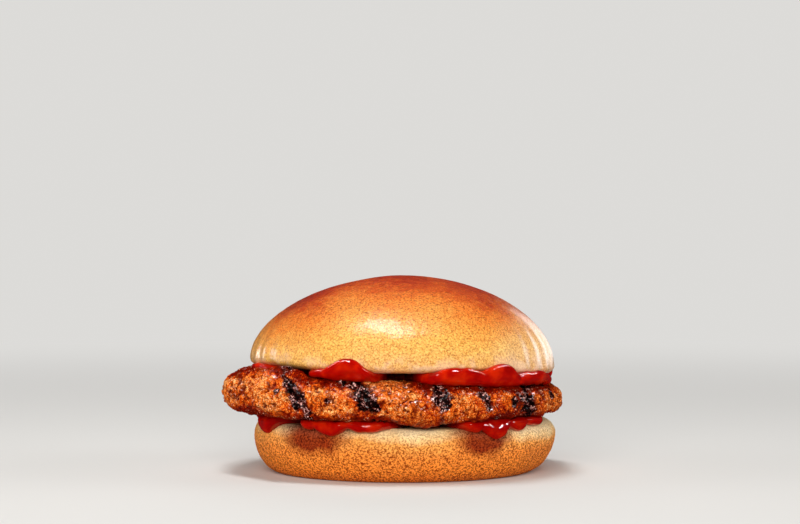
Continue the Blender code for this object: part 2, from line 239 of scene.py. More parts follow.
def crown_roll(turn, angle, grow=0.0):
    rise, run = math.sin(math.radians(turn)), math.cos(math.radians(turn))
    base = crown_base(BUN_RADIUS * math.cos(math.radians(angle)))
    drawn_in = 0 if grow else fold(angle, base)
    radius = CUT_RADIUS + (CUT_EDGE + grow - drawn_in) * run
    return polar(radius, angle, base + CROWN_ROLL + (CROWN_ROLL + grow) * rise)


def crown_dome(climb, angle, grow=0.0):
    along = math.cos(math.radians(angle))
    power = 2 / (DOME_FULLNESS + DOME_LEAN * along)
    rise = math.sin(math.radians(climb)) ** power
    run = max(0.0, math.cos(math.radians(climb))) ** power
    base = crown_base(BUN_RADIUS * along) + CROWN_ROLL
    z = base * (1 - rise) + CROWN_TOP * rise
    uneven = lumps(polar(BUN_RADIUS, angle, 20 * MM * rise), *CROWN_UNEVEN)
    radius = BUN_RADIUS * run + (uneven + grow) * min(1.0, 3 * run) * rise**0.5
    radius += grow * (1 - rise**0.5) - (0 if grow else fold(angle, z) * run)
    return polar(radius, angle, z)


def crown_face(share, angle, grow=0.0):
    base = crown_base(share * BUN_RADIUS * math.cos(math.radians(angle)))
    return polar(share * CUT_RADIUS, angle, base - grow)


def patty_outline(angle):
    turn = math.radians(angle)
    along, across = math.cos(turn) / PATTY_HALF_LENGTH, math.sin(turn) / PATTY_HALF_DEPTH
    oval = (abs(along) ** OVAL_POWER + abs(across) ** OVAL_POWER) ** (-1 / OVAL_POWER)
    return oval + lumps(polar(30 * MM, angle, 0), *OUTLINE_UNEVEN) * abs(math.sin(turn))


def patty_levels(x):
    x_bun = x + PATTY_X
    left_rise = 0.8 * MM * soft(-10 * MM, -45 * MM, x_bun)
    right_fall = 2.6 * MM * soft(-8 * MM, 40 * MM, x_bun)
    tip_fall = 1.6 * MM * soft(37 * MM, 54 * MM, x_bun)
    return PATTY_BOTTOM, PATTY_TOP + left_rise - right_fall - tip_fall


def groove(point):
    """How deep the bars pressed into the patty at a point."""
    down = min(SLANT_REACH, max(-SLANT_REACH, PATTY_MIDDLE - point.z)) if point.y < 0 else 0
    nearest = min(abs(point.x + PATTY_X - middle * MM - slant * down) / (half * MM + GROOVE_FLARE)
                  for middle, half, slant in BARS)
    return GROOVE_DEPTH * (0.6 + 0.4 * noise.noise(point / (12 * MM))) * math.exp(-(nearest**2))


def patty_point(angle, turn, inward=0.0):
    """A point of the patty's rim, from its underside at -90 to its top at 90, or inward on either."""
    outline = patty_outline(angle)
    way = math.radians(angle)
    low, high = patty_levels(outline * math.cos(way))
    half = (high - low) / 2
    rise, run = math.sin(math.radians(turn)), math.cos(math.radians(turn))
    radius = (outline - half) * (1 - inward) + half * run
    low, high = patty_levels(radius * math.cos(way))
    overhang = soft(outline - 0.9 * half, outline - 0.3 * half, radius)
    low -= overhang * max(drop * swell(angle, middle, wide) for middle, wide, drop in PATTY_SAGS)
    shoulder = soft(outline - 1.25 * half, outline - 0.65 * half, radius)
    high += shoulder * max(lift * swell(angle, middle, wide, RISE_ROUNDNESS)
                           for middle, wide, lift in PATTY_RISES)
    point = polar(radius, angle, (low + high) / 2 + (high - low) / 2 * rise)
    relief = lumps(point, *PATTY_LUMPS) + lumps(point, *PATTY_KNOBS)
    relief = (relief - groove(point)) * (0.08 + 0.92 * max(0.0, run) ** 1.3)
    point += relief * Vector((run * math.cos(way), run * math.sin(way), rise))
    return point + Vector((PATTY_X, 0, 0))


def patty_face(x, y, side):
    """The height of the patty's top, where side is 1, or of its underside, where it is -1."""
    radius = math.hypot(x - PATTY_X, y)
    angle = math.degrees(math.atan2(y, x - PATTY_X))
    outline = patty_outline(angle)
    low, high = patty_levels(outline * math.cos(math.radians(angle)))
    half = (high - low) / 2
    past = min(1.0, max(0.0, (radius - outline + half) / half))
    if past > 0:
        return patty_point(angle, side * math.degrees(math.acos(past))).z
    return patty_point(angle, side * 90, 1 - radius / (outline - half)).z


# ---------------------------------------------------------------- meshes

crown_low, crown_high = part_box("crown")
SHIFT = np.array([(crown_low[0] + crown_high[0]) / 2, (crown_low[1] + crown_high[1]) / 2, 0.0])


def grid(rings, count):
    """The points of some rings, each a function of the angle, as an array of rings by angles."""
    turns = [360 * i / count for i in range(count)]
    return np.array([[tuple(ring(turn)) for turn in turns] for ring in rings])


def grid_normals(points):
    """Unit normals of such an array, outward where the rings go from the underside up."""
    around = np.roll(points, -1, axis=1) - np.roll(points, 1, axis=1)
    up = np.gradient(points, axis=0)
    normals = np.cross(around, up)
    lengths = np.linalg.norm(normals, axis=2, keepdims=True)
    return normals / np.maximum(lengths, 1e-12)


def layered(points, layers):
    """Relief in mm made of layers of smooth noise."""
    return sum(height * field(points, size * MM, seed, octaves)
               for height, size, seed, octaves in layers)


def raised(points, relief):
    """An array of rings by angles, moved out along its normals by a relief in mm."""
    return points + (relief * MM).reshape(points.shape[:2])[..., None] * grid_normals(points)


def angle_round(points, x=0.0):
    """The angle of each point round an upright axis at that X, 0 to 360."""
    return np.degrees(np.arctan2(points[:, 1], points[:, 0] - x)) % 360


def skin(name, points, low_pole, high_pole, fields=None):
    """A closed mesh over an array of rings, with a point at either end, moved to its real place."""
    rings, count = points.shape[:2]
    flat = np.concatenate([points.reshape(-1, 3), [low_pole, high_pole]]) + SHIFT
    index = np.arange(rings * count).reshape(rings, count)
    after = np.roll(index, -1, axis=1)
    quads = np.stack([index[:-1], after[:-1], after[1:], index[1:]], axis=2).reshape(-1, 4)
    low, high = rings * count, rings * count + 1
    faces = quads.tolist()
    faces += [(low, b, a) for a, b in zip(index[0].tolist(), after[0].tolist())]
    faces += [(high, a, b) for a, b in zip(index[-1].tolist(), after[-1].tolist())]
    mesh = bpy.data.meshes.new(name)
    mesh.from_pydata(flat.tolist(), [], faces)
    mesh.update()
    mesh.shade_smooth()
    for key, values in (fields or {}).items():
        data = mesh.attributes.new(key, "FLOAT", "POINT").data
        data.foreach_set("value", np.append(values.ravel(), [0.0, 0.0]).astype(np.float32))
    made = bpy.data.objects.new(name, mesh)
    bpy.context.scene.collection.objects.link(made)
    return made


def spaced(first, last, count):
    """Evenly spaced numbers, with both ends."""
    return [first + (last - first) * i / (count - 1) for i in range(count)]


# ---------------------------------------------------------------- bread


def soak_and_shadow(points):
    """How dark the heel's crust is below the larger drips, 0 to 1: partly oil and sauce soaking in,
    partly painted shadow of the drips.
    """
    angle = angle_round(points)
    below = HEEL_HEIGHT - points[:, 2] + 1.3 * MM * field(points, 5 * MM, 14, 2)
    stained = np.zeros(len(points))
    for middle, half, depth in STAINS_AND_SHADOWS:
        away = np.clip(np.abs(turned(angle, middle)) / half, 0, 1)
        share = np.cos(away * math.pi / 2) ** 0.8
        end = depth * MM * (0.4 + 0.6 * share)
        stained = np.maximum(stained, share * smoothstep(end, 0.55 * end, below))
    return stained


def make_heel():
    rings = [lambda a, r=r: polar(r, a, 0) for r in FOOT_RINGS]
    rings += [lambda a, t=t: heel_side(t, a) for t in spaced(-90, 90, HEEL_RINGS)]
    rings += [lambda a, s=s: polar(s * CUT_RADIUS, a, HEEL_HEIGHT) for s in FACE_RINGS[::-1]]
    points = grid(rings, HEEL_AROUND)
    flat = points.reshape(-1, 3)
    above_foot = smoothstep(0.1 * MM, 2.5 * MM, flat[:, 2])
    crust = raised(points, layered(flat, HEEL_RELIEF) * above_foot)
    return skin("bun_heel", crust, (0, 0, 0), (0, 0, HEEL_HEIGHT), {"stained": soak_and_shadow(flat)})


def make_crown():
    rings = [lambda a, s=s: crown_face(s, a) for s in FACE_RINGS]
    rings += [lambda a, t=t: crown_roll(t, a) for t in spaced(-90, -6, ROLL_RINGS)]
    rings += [lambda a, c=c: crown_dome(c, a) for c in spaced(0, 88.6, DOME_RINGS)]
    points = grid(rings, CROWN_AROUND)
    crust = raised(points, layered(points.reshape(-1, 3), CROWN_RELIEF))
    return skin("bun_crown", crust, (0, 0, CROWN_BASE), (0, 0, CROWN_TOP))


# ---------------------------------------------------------------- patty


def off_bars(points):
    """For each bar, the points' distances along X from its middle, and its half width, in mm."""
    x, y, z = (points / MM).T
    reach = SLANT_REACH / MM
    down = np.clip(PATTY_MIDDLE / MM - z, -reach, reach) * (y < 0)
    return [(x - middle - slant * down, half) for middle, half, slant in BARS]


def scorch(points):
    """How scorched the patty is at each point, 0 to 1."""
    wander = field(points, 7 * MM, 31, 2)
    ragged = field(points, 1.6 * MM, 32, 3)
    broken = field(points, 6 * MM, 33, 2)
    scorched = np.zeros(len(points))
    for along, half in off_bars(points):
        off = np.abs(along - 1.2 * wander) / half
        mark = smoothstep(1.25, 0.35, off + 0.55 * ragged)
        scorched = np.maximum(scorched, mark * smoothstep(-0.42, 0.12, broken + 0.25 * ragged))
    angle = angle_round(points, PATTY_X)
    for turn, height, radius in SPOTS:
        along = np.abs(turned(angle, turn)) * RIM_DEGREE
        off = np.hypot(along, points[:, 2] / MM - height) / radius
        scorched = np.maximum(scorched, smoothstep(1.3, 0.6, off + 0.45 * ragged + 0.2 * wander))
    return scorched


def between_bars(points):
    """0 along each bar's mark, rising to 1 from 7 mm past its edges."""
    off = [np.abs(along) - half for along, half in off_bars(points)]
    return smoothstep(0, 7, np.min(off, axis=0))


def pale_fold(points):
    """1 on the stretch of the patty's upper edge that stays pale, 0 elsewhere."""
    middle, half, height = PALE_FOLD
    pale = smoothstep(half, 0.6 * half, np.abs(angle_round(points, PATTY_X) - middle))
    return pale * smoothstep(-1, 1, points[:, 2] / MM - height)


def make_patty():
    turns = spaced(-90, 90, PATTY_RINGS)
    rings = [lambda a, i=i: patty_point(a, -90, i) for i in PATTY_FACE_RINGS]
    rings += [lambda a, t=t: patty_point(a, t) for t in turns]
    rings += [lambda a, i=i: patty_point(a, 90, i) for i in PATTY_FACE_RINGS[::-1]]
    points = grid(rings, PATTY_AROUND)
    flat = points.reshape(-1, 3)

    # Relief in mm: lumps with creases between them, pits, and a rough crust where it is scorched.
    scorched = scorch(flat)
    creased = creases(flat, 3.4 * MM, 45, 0.34)
    wrinkled = creases(flat, 1.7 * MM, 51, 0.30)
    pits = smoothstep(0.40, 0.54, field(flat, 1.9 * MM, 43, 2))
    relief = layered(flat, PATTY_RELIEF) - 0.38 * creased - 0.10 * wrinkled - 0.35 * pits
    crusty = field(flat, 1.7 * MM, 44, 3)
    relief += scorched * (1.1 * crusty - 0.25 - 0.6 * relief)

    # What the material reads at each point.
    # Painted shade: darker in the creases and pits.
    cracks = np.maximum(smoothstep(0.6, 1.0, creased), 0.6 * smoothstep(0.6, 1.0, wrinkled))
    cracks *= smoothstep(-0.35, 0.25, field(flat, 4 * MM, 48))
    pale = pale_fold(flat)
    clear = between_bars(flat) + 0.25 * field(flat, 5 * MM, 46, 2)
    rim_turns = [-90] * len(PATTY_FACE_RINGS) + turns + [90] * len(PATTY_FACE_RINGS)
    edge = np.repeat(np.abs(np.sin(np.radians(rim_turns))), PATTY_AROUND)
    fields = {
        "scorched": scorched * (1 - NOSE_PALER * smoothstep(*NOSE, flat[:, 0])),
        "cracks": np.maximum(cracks, pits),
        "raised": relief,
        "edge": edge * (1 - pale),
        "clear": np.maximum(clear, 1.4 * pale),
    }
    underside, top = patty_point(0, -90, 1), patty_point(0, 90, 1)
    return skin("sausage_patty", raised(points, relief), underside, top, fields)


# ---------------------------------------------------------------- sauce


def reach_at(angle, lobes, roundness):
    """How far the sauce runs past the edge of the cut face, and how full it is there, 0 to 1."""
    best = max(swell(angle, middle, half, roundness) * (reach * MM - SAUCE_RECESS)
               for middle, half, reach in lobes)
    beyond = min(abs(turned(angle, middle)) - half for middle, half, _ in lobes)
    hollow = SAUCE_HOLLOW * soft(0, HOLLOW_RUN, beyond)
    return SAUCE_RECESS + best - hollow, soft(0, -2 * SAUCE_RECESS, best)


def along_heel(distance, angle, off):
    """A point off the heel, so far outward from the edge of its cut face."""
    if distance <= 0:
        return polar(CUT_RADIUS + distance, angle, HEEL_HEIGHT + off)
    return heel_side(90 - math.degrees(distance / CUT_EDGE), angle, off)


def along_crown(distance, angle, off):
    """A point off the crown, so far outward from the edge of its cut face."""
    roll_length = 1.2 * CUT_EDGE
    if distance <= 0:
        return crown_face(1 + distance / CUT_RADIUS, angle, off)
    if distance < roll_length:
        return crown_roll(-90 * (1 - distance / roll_length), angle, off)
    climb = math.degrees((distance - roll_length) / (CROWN_TOP - CROWN_BASE))
    return crown_dome(climb, angle, off)


def bezier(share, points):
    weights = ((1 - share) ** 3, 3 * share * (1 - share) ** 2, 3 * share**2 * (1 - share), share**3)
    return sum((weight * point for weight, point in zip(weights, points)), Vector())


def sauce_section(angle, lobes, roundness, along, side):
    """The sauce's outline at an angle: out along the bread, round a bulge, and back in on the patty."""
    reach, strength = reach_at(angle, lobes, roundness)
    reach += 0.35 * MM * noise.noise(polar(30 * MM, angle, side * 5 * MM) / (4 * MM))
    covered = spaced(min(-0.12 * CUT_RADIUS, 1.5 * reach), reach, COVERED_RINGS)
    distances = (-0.5 * CUT_RADIUS, *covered)
    on_bread = [along(distance, angle, -SUNK_IN_BREAD) for distance in distances]
    contact = CUT_RADIUS + min(SAUCE_RECESS, reach) + 6 * MM * strength
    on_patty = []
    for radius in (contact, contact - 1.5 * MM, contact - 4 * MM, 0.5 * contact):
        foot = polar(radius, angle, 0)
        z = patty_face(foot.x, foot.y, side) - side * SUNK_IN_PATTY
        on_patty.append(Vector((foot.x, foot.y, z)))
    bulge = (0.9 + 2.9 * strength) * MM * polar(1, angle, 0)
    start, end = on_bread[-1], on_patty[0]
    handles = (start, start + bulge, end + 0.9 * bulge, end)
    curve = [bezier(share, handles) for share in spaced(0.04, 0.96, BULGE_RINGS)]
    return on_bread + curve + on_patty


def make_sauce(name, lobes, roundness, along, side, seed):
    turns = [360 * i / SAUCE_AROUND for i in range(SAUCE_AROUND)]
    sections = [sauce_section(turn, lobes, roundness, along, side) for turn in turns]
    points = np.array([[tuple(p) for p in section] for section in sections]).transpose(1, 0, 2)
    if side > 0:  # its sections start at the crown, and a skin's rings go up
        points = points[::-1]
    for _ in range(3):  # rounds off the lobes' edges
        mean = (np.roll(points, 1, axis=1) + np.roll(points, -1, axis=1)) / 2
        points = 0.5 * points + 0.5 * mean
    flat = points.reshape(-1, 3)
    radius = np.hypot(flat[:, 0], flat[:, 1])
    relief = layered(flat, ((0.40, 5, seed, 1), (0.24, 2.8, seed + 1, 1)))
    surface = raised(points, relief * smoothstep(43 * MM, 47 * MM, radius))
    # Painted shade: 1 deep in, between the bread and the patty, where the sauce is painted nearly
    # black.
    deep = smoothstep(45.5 * MM, 41.5 * MM, radius)
    low, high = (HEEL_HEIGHT, PATTY_BOTTOM) if side < 0 else (PATTY_TOP, CROWN_BASE)
    return skin(name, surface, (0, 0, low), (0, 0, high), {"deep": deep})


# ---------------------------------------------------------------- materials


class Shader:
    """Small helper that adds nodes and links to a material."""

    def __init__(self, name):
        self.material = bpy.data.materials.new(name)
        self.material.use_nodes = True
        self.nodes = self.material.node_tree.nodes
        self.links = self.material.node_tree.links
        self.surface = self.nodes["Principled BSDF"]
        self.place = self.nodes.new("ShaderNodeTexCoord").outputs["Object"]

    def set(self, **values):
        for key, value in values.items():
            self.surface.inputs[key.replace("_", " ")].default_value = value

    def connect(self, source, target):
        self.links.new(source, self.surface.inputs[target])

    def put(self, socket, value):
        if isinstance(value, bpy.types.NodeSocket):
            self.links.new(value, socket)
        else:
            socket.default_value = value

    def attribute(self, name):
        node = self.nodes.new("ShaderNodeAttribute")
        node.attribute_name = name
        return node.outputs["Fac"]

    def axis(self, letter):
        node = self.nodes.new("ShaderNodeSeparateXYZ")
        self.links.new(self.place, node.inputs[0])
        return node.outputs[letter]

    def noise(self, size, detail=2.0, roughness=0.5, twist=0.0):
        node = self.nodes.new("ShaderNodeTexNoise")
        node.inputs["Scale"].default_value = 1 / size
        node.inputs["Detail"].default_value = detail
        node.inputs["Roughness"].default_value = roughness
        node.inputs["Distortion"].default_value = twist
        self.links.new(self.place, node.inputs["Vector"])
        return node.outputs["Fac"]

    def span(self, value, low, high, to_low=0.0, to_high=1.0, smooth=False):
        node = self.nodes.new("ShaderNodeMapRange")
        node.interpolation_type = "SMOOTHSTEP" if smooth else "LINEAR"
        for socket, given in zip(node.inputs, (value, low, high, to_low, to_high)):
            self.put(socket, given)
        return node.outputs["Result"]

    def math(self, operation, first, second):
        node = self.nodes.new("ShaderNodeMath")
        node.operation = operation
        self.put(node.inputs[0], first)
        self.put(node.inputs[1], second)
        return node.outputs[0]

    def total(self, first, *others):
        for other in others:
            first = self.math("ADD", first, other)
        return first

    def times(self, first, second):
        return self.math("MULTIPLY", first, second)

    def ramp(self, value, stops):
        node = self.nodes.new("ShaderNodeValToRGB")
        elements = node.color_ramp.elements
        while len(elements) < len(stops):
            elements.new(0.5)
        for element, (place, colour) in zip(elements, stops):
            element.position = place
            element.color = (*colour, 1)
        self.links.new(value, node.inputs[0])
        return node.outputs["Color"]

    def mix(self, share, first, second, how="MIX"):
        node = self.nodes.new("ShaderNodeMix")
        node.data_type = "RGBA"
        node.blend_type = how
        for socket, given in zip((node.inputs[0], node.inputs[6], node.inputs[7]),
                                 (share, first, second)):
            if isinstance(given, tuple):
                given = (*given, 1)
            self.put(socket, given)
        return node.outputs[2]

    def tinted(self, colour, tint):
        return self.mix(1.0, colour, tint, "MULTIPLY")

    def bump(self, height, distance, under=None):
        node = self.nodes.new("ShaderNodeBump")
        node.inputs["Distance"].default_value = distance
        node.inputs["Strength"].default_value = 1.0
        self.links.new(height, node.inputs["Height"])
        if under is not None:
            self.links.new(under, node.inputs["Normal"])
        return node.outputs["Normal"]


def linear(red, green, blue):
    """A colour given in sRGB, 0 to 255, as Blender's linear colour."""
    return tuple(((c / 255 + 0.055) / 1.055) ** 2.4 if c > 10 else c / 255 / 12.92
                 for c in (red, green, blue))


def crown_material():
    """Satin crust, browner higher up, darker at the left and upper right as painted shade, with a
    painted reflection low on the right, and with speckles and chalky patches low down.
    """
    m = Shader("crown_crust")
    across = m.axis("X")
    height = m.span(m.axis("Z"), 33 * MM, CROWN_TOP)
    uneven = m.span(m.noise(18 * MM, 3), 0.3, 0.7, -0.06, 0.06)
    patchy = m.span(m.noise(2.6 * MM, 4, 0.65), 0.3, 0.7, -0.07, 0.07)
    # Browner at the left, and at the right higher up: painted shade, where the light falls off towards
    # the sides.
    left = m.span(across, -10 * MM, -34 * MM, 0.0, 0.25, smooth=True)
    right = m.span(across, 14 * MM, 32 * MM, 0.0, 0.19, smooth=True)
    right = m.times(right, m.span(height, 0.15, 0.45))
    colour = m.ramp(m.total(height, uneven, patchy, left, right), [
        (0.00, linear(238, 178, 126)),
        (0.10, linear(240, 190, 114)),
        (0.42, linear(245, 194, 100)),
        (0.63, linear(242, 170, 80)),
        (0.80, linear(238, 138, 54)),
        (0.92, linear(214, 93, 30)),
        (1.00, linear(182, 54, 22)),
    ])
    # Painted reflection: paler low on the right side, where the lamp at the right shows.
    pale = m.span(across, 30 * MM, 42 * MM, 0.0, 0.30, smooth=True)
    pale = m.times(pale, m.span(height, 0.35, 0.75, 1.0, 0.0, smooth=True))
    colour = m.mix(pale, colour, linear(246, 214, 168))
    darker, lighter = m.tinted(colour, linear(212, 166, 122)), m.tinted(colour, (1.15, 1.18, 1.20))
    colour = m.mix(m.span(m.noise(0.62 * MM, 3, 0.7), 0.34, 0.64), darker, lighter)
    specks = m.span(m.noise(0.6 * MM, 1, 0.5), 0.57, 0.65, smooth=True)
    specks = m.times(specks, m.span(height, 0.1, 0.7, 0.30, 0.72))
    colour = m.mix(specks, colour, linear(136, 50, 14))
    chalky = m.span(m.noise(6 * MM, 3, 0.6), 0.46, 0.60, smooth=True)
    chalky = m.times(chalky, m.span(height, 0.06, 0.30, 0.62, 0.0, smooth=True))
    colour = m.mix(chalky, colour, linear(246, 208, 176))
    m.connect(colour, "Base Color")
    m.connect(m.span(m.noise(1.2 * MM, 3), 0.3, 0.7, 0.30, 0.44), "Roughness")
    fine = m.bump(m.noise(0.6 * MM, 2, 0.6), 0.07 * MM)
    m.connect(m.bump(m.noise(3.5 * MM, 2), 0.10 * MM, under=fine), "Normal")
    m.connect(m.span(height, 0.68, 0.90, 0.55, 0.08, smooth=True), "Coat Weight")
    m.set(Specular_IOR_Level=0.35, Coat_Roughness=0.21, Coat_IOR=1.5)
    return m.material


def heel_material():
    """Matt crust, paler higher up, with fine grain and dark patches below the drips, partly sauce
    soaking in and partly painted shadow.
    """
    m = Shader("heel_crust")
    height = m.span(m.axis("Z"), 0.0, HEEL_HEIGHT)
    stained = m.attribute("stained")
    uneven = m.span(m.noise(14 * MM, 3), 0.3, 0.7, -0.09, 0.09)
    right = m.span(m.axis("X"), 32 * MM, 43 * MM, 0.0, 0.14, smooth=True)
    right = m.times(right, m.span(height, 0.5, 0.72))
    colour = m.ramp(m.total(height, uneven, right), [
        (0.00, linear(234, 124, 40)),
        (0.22, linear(238, 136, 48)),
        (0.52, linear(235, 138, 56)),
        (0.76, linear(240, 161, 80)),
        (0.92, linear(250, 212, 154)),
        (1.00, linear(253, 224, 176)),
    ])
    # Dark patches below the drips: partly sauce soaking in, partly painted shadow of the drips.
    colour = m.mix(m.span(stained, 0, 0.85, 0, 0.93), colour, linear(134, 28, 0))
    grain = m.noise(0.58 * MM, 2, 0.6)
    darker, lighter = m.tinted(colour, linear(142, 94, 54)), m.tinted(colour, (1.25, 1.29, 1.26))
    grained = m.mix(m.span(grain, 0.36, 0.60), darker, lighter)
    weaker = m.times(m.span(height, 0.62, 0.98, 0.0, 0.7), m.span(stained, 0, 0.6, 1.0, 0.1))
    m.connect(m.mix(weaker, grained, colour), "Base Color")
    m.set(Roughness=0.7, Specular_IOR_Level=0.12)
    fine = m.bump(grain, 0.16 * MM)
    m.connect(m.bump(m.noise(2.4 * MM, 2), 0.14 * MM, under=fine), "Normal")
    return m.material


def patty_material():
    """Mottled meat that shines in places, with painted shade in its creases and pits, painted
    highlights on its lumps and in pale flecks, edges darker partly from browning and partly as painted
    shade, and charred marks with painted glints.
    """
    m = Shader("grilled_sausage")
    across, height = m.axis("X"), m.axis("Z")
    scorched, edge, clear = m.attribute("scorched"), m.attribute("edge"), m.attribute("clear")
    fine = m.noise(0.55 * MM, 2, 0.6, twist=1.2)
    mottled = m.noise(2.0 * MM, 3, 0.6, twist=2.4)
    browned = m.noise(6 * MM, 2, 0.5)
    left = m.span(across, -8 * MM, -22 * MM, 0.0, 0.022, smooth=True)
    right = m.times(m.span(across, 22 * MM, 32 * MM, 0.0, -0.045, smooth=True),
                    m.span(across, 43 * MM, 47 * MM, 1.0, 0.0, smooth=True))
    right = m.times(right, m.span(height, 21 * MM, 29 * MM, 1.4, 0.5))
    nose = m.times(m.span(across, -42 * MM, -52 * MM, 0.0, -0.06, smooth=True),
                   m.span(height, 29 * MM, 22 * MM))
    tone = m.total(
        m.times(fine, 0.42),
        m.times(mottled, 0.36),
        m.times(browned, 0.22),
        # Painted highlight and shade: lighter on the lumps, darker in the hollows.
        m.times(m.attribute("raised"), 0.09),
        # Darker towards the top and bottom edges: partly browning, partly painted shade.
        m.span(edge, 0.50, 1.0, 0.0, -0.18, smooth=True),
        m.span(clear, 0, 1, -0.03, 0.018),
        left,
        right,
        nose,
    )
    meat = m.ramp(m.span(tone, 0.357, 0.583), [
        (0.00, linear(116, 14, 0)),
        (0.22, linear(176, 46, 6)),
        (0.46, linear(220, 91, 14)),
        (0.72, linear(238, 132, 38)),
        (1.00, linear(255, 196, 120)),
    ])
    golden = m.span(clear, 0.7, 1.15, 0.0, 0.22, smooth=True)
    meat = m.mix(golden, meat, linear(226, 126, 36))
    flecks = m.span(m.noise(0.62 * MM, 1, 0.5), 0.61, 0.68, 0.0, 0.8, smooth=True)
    meat = m.mix(flecks, meat, linear(90, 12, 0))
    # Painted shade in the creases and pits.
    meat = m.mix(m.span(m.attribute("cracks"), 0, 1, 0, 0.88), meat, linear(88, 8, 0))
    # Painted glints: pale flecks in clusters on the meat.
    painted_glints = m.span(m.noise(0.7 * MM, 2, 0.6, twist=1.0), 0.61, 0.66, smooth=True)
    painted_glints = m.times(painted_glints, m.span(m.noise(5 * MM, 1), 0.46, 0.58, smooth=True))
    meat = m.mix(painted_glints, meat, linear(252, 204, 158))
    speckled = m.span(m.noise(0.62 * MM, 2, 0.6, twist=1.5), 0.36, 0.62)
    darker, lighter = m.tinted(meat, linear(144, 76, 42)), m.tinted(meat, (1.38, 1.34, 1.40))
    meat = m.mix(speckled, darker, lighter)
    # Darker low down: partly browning, partly painted shade on the underside.
    low = m.span(height, 17.5 * MM, 24 * MM, 0.75, 0.0, smooth=True)
    meat = m.mix(low, meat, linear(104, 24, 6))
    # Charred crust, near black, with pale pink flecks painted as glints, in patches.
    glint_patches_in_char = m.span(m.noise(2.4 * MM, 1), 0.40, 0.58, -0.09, 0.045, smooth=True)
    char_and_glints = m.ramp(m.total(m.noise(1.1 * MM, 3, 0.6, twist=1.5), glint_patches_in_char), [
        (0.42, linear(3, 0, 0)),
        (0.54, linear(34, 3, 2)),
        (0.60, linear(112, 40, 32)),
        (0.66, linear(246, 190, 180)),
    ])
    singed = m.mix(m.span(scorched, 0.02, 0.45, 0, 0.8, smooth=True), meat, linear(92, 20, 6))
    colour = m.mix(m.span(scorched, 0.35, 0.8, 0, 1, smooth=True), singed, char_and_glints)
    m.connect(colour, "Base Color")
    m.connect(m.span(mottled, 0.3, 0.7, 0.35, 0.55), "Roughness")
    m.set(Specular_IOR_Level=0.0, Coat_Roughness=0.05)
    wet = m.span(m.noise(2.2 * MM, 1), 0.42, 0.52, 0.1, 1.0, smooth=True)
    wet = m.times(wet, m.span(edge, 0.62, 0.92, 1.0, 0.05, smooth=True))
    m.connect(wet, "Coat Weight")
    coarse = m.times(mottled, m.span(scorched, 0.2, 0.7, 1.0, 2.0))
    m.connect(m.bump(coarse, 0.16 * MM, under=m.bump(fine, 0.025 * MM)), "Normal")
    return m.material


def sauce_material():
    """Wet red sauce, with painted shade: darker low down, under the patty, and nearly black deep
    between the layers.
    """
    m = Shader("tomato_sauce")
    colour = m.ramp(m.noise(5 * MM, 2, 0.5), [
        (0.34, linear(148, 2, 0)),
        (0.50, linear(168, 8, 0)),
        (0.66, linear(196, 32, 2)),
    ])
    # Painted shade: darker low down, where the sauce sits under the patty.
    low = m.span(m.axis("Z"), 17.5 * MM, 22.5 * MM, 0.45, 0.0)
    colour = m.mix(low, colour, linear(126, 0, 0))
    # Painted shade: nearly black deep between the layers.
    colour = m.mix(m.span(m.attribute("deep"), 0, 1, 0, 0.93), colour, linear(24, 0, 0))
    m.connect(colour, "Base Color")
    m.set(Roughness=0.35, Specular_IOR_Level=0.0, Coat_Weight=1.0, Coat_Roughness=0.015,
          Subsurface_Weight=0.15, Subsurface_Scale=1 * MM)
    m.surface.inputs["Subsurface Radius"].default_value = (1.0, 0.12, 0.04)
    m.connect(m.bump(m.noise(2.2 * MM, 2, 0.5), 0.03 * MM), "Normal")
    return m.material


# ---------------------------------------------------------------- the sandwich

sauce = sauce_material()
PIECES = (
    (make_heel(), "heel", "bread", heel_material()),
    (make_sauce("sauce_under_patty", LOWER_LOBES, LOWER_ROUNDNESS, along_heel, -1, 61),
     "sauce_lower", "sauce", sauce),
    (make_patty(), "patty", "sausage", patty_material()),
    (make_sauce("sauce_over_patty", UPPER_LOBES, UPPER_ROUNDNESS, along_crown, 1, 71),
     "sauce_upper", "sauce", sauce),
    (make_crown(), "crown", "crust", crown_material()),
)
for piece, node, slot, look in PIECES:
    piece.data.materials.append(look)
    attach(piece, "root")
    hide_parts(node)

# ---------------------------------------------------------------- stage, light and camera

FLOOR_HUB = 0.1
FLOOR_RADIUS = 0.7
LIT_FROM, LIT_TO = 0.16, 0.75  # how far out the floor starts to glow, and glows fully
BACKDROP_RADIUS = 3.0
BACKDROP_CURVE = 1.4
BACKDROP_TOP = 2.6
STAGE_AROUND = 96
LAMP_AIM = Vector((0, 0, 35 * MM))
WORLD_STRENGTH = 0.03


def stage_paint():
    """Pale paint that is lit near the sandwich and glows evenly further out."""
    m = Shader("floor_paint")
    reach = m.nodes.new("ShaderNodeVectorMath")
    reach.operation = "LENGTH"
    m.links.new(m.place, reach.inputs[0])
    far = m.span(reach.outputs["Value"], LIT_FROM, LIT_TO, smooth=True)
    m.connect(m.mix(far, (0.70, 0.69, 0.67), (0.0, 0.0, 0.0)), "Base Color")
    m.set(Roughness=0.8, Specular_IOR_Level=0.0)
    m.surface.inputs["Emission Color"].default_value = (0.72, 0.71, 0.69, 1)
    m.connect(far, "Emission Strength")
    return m.material


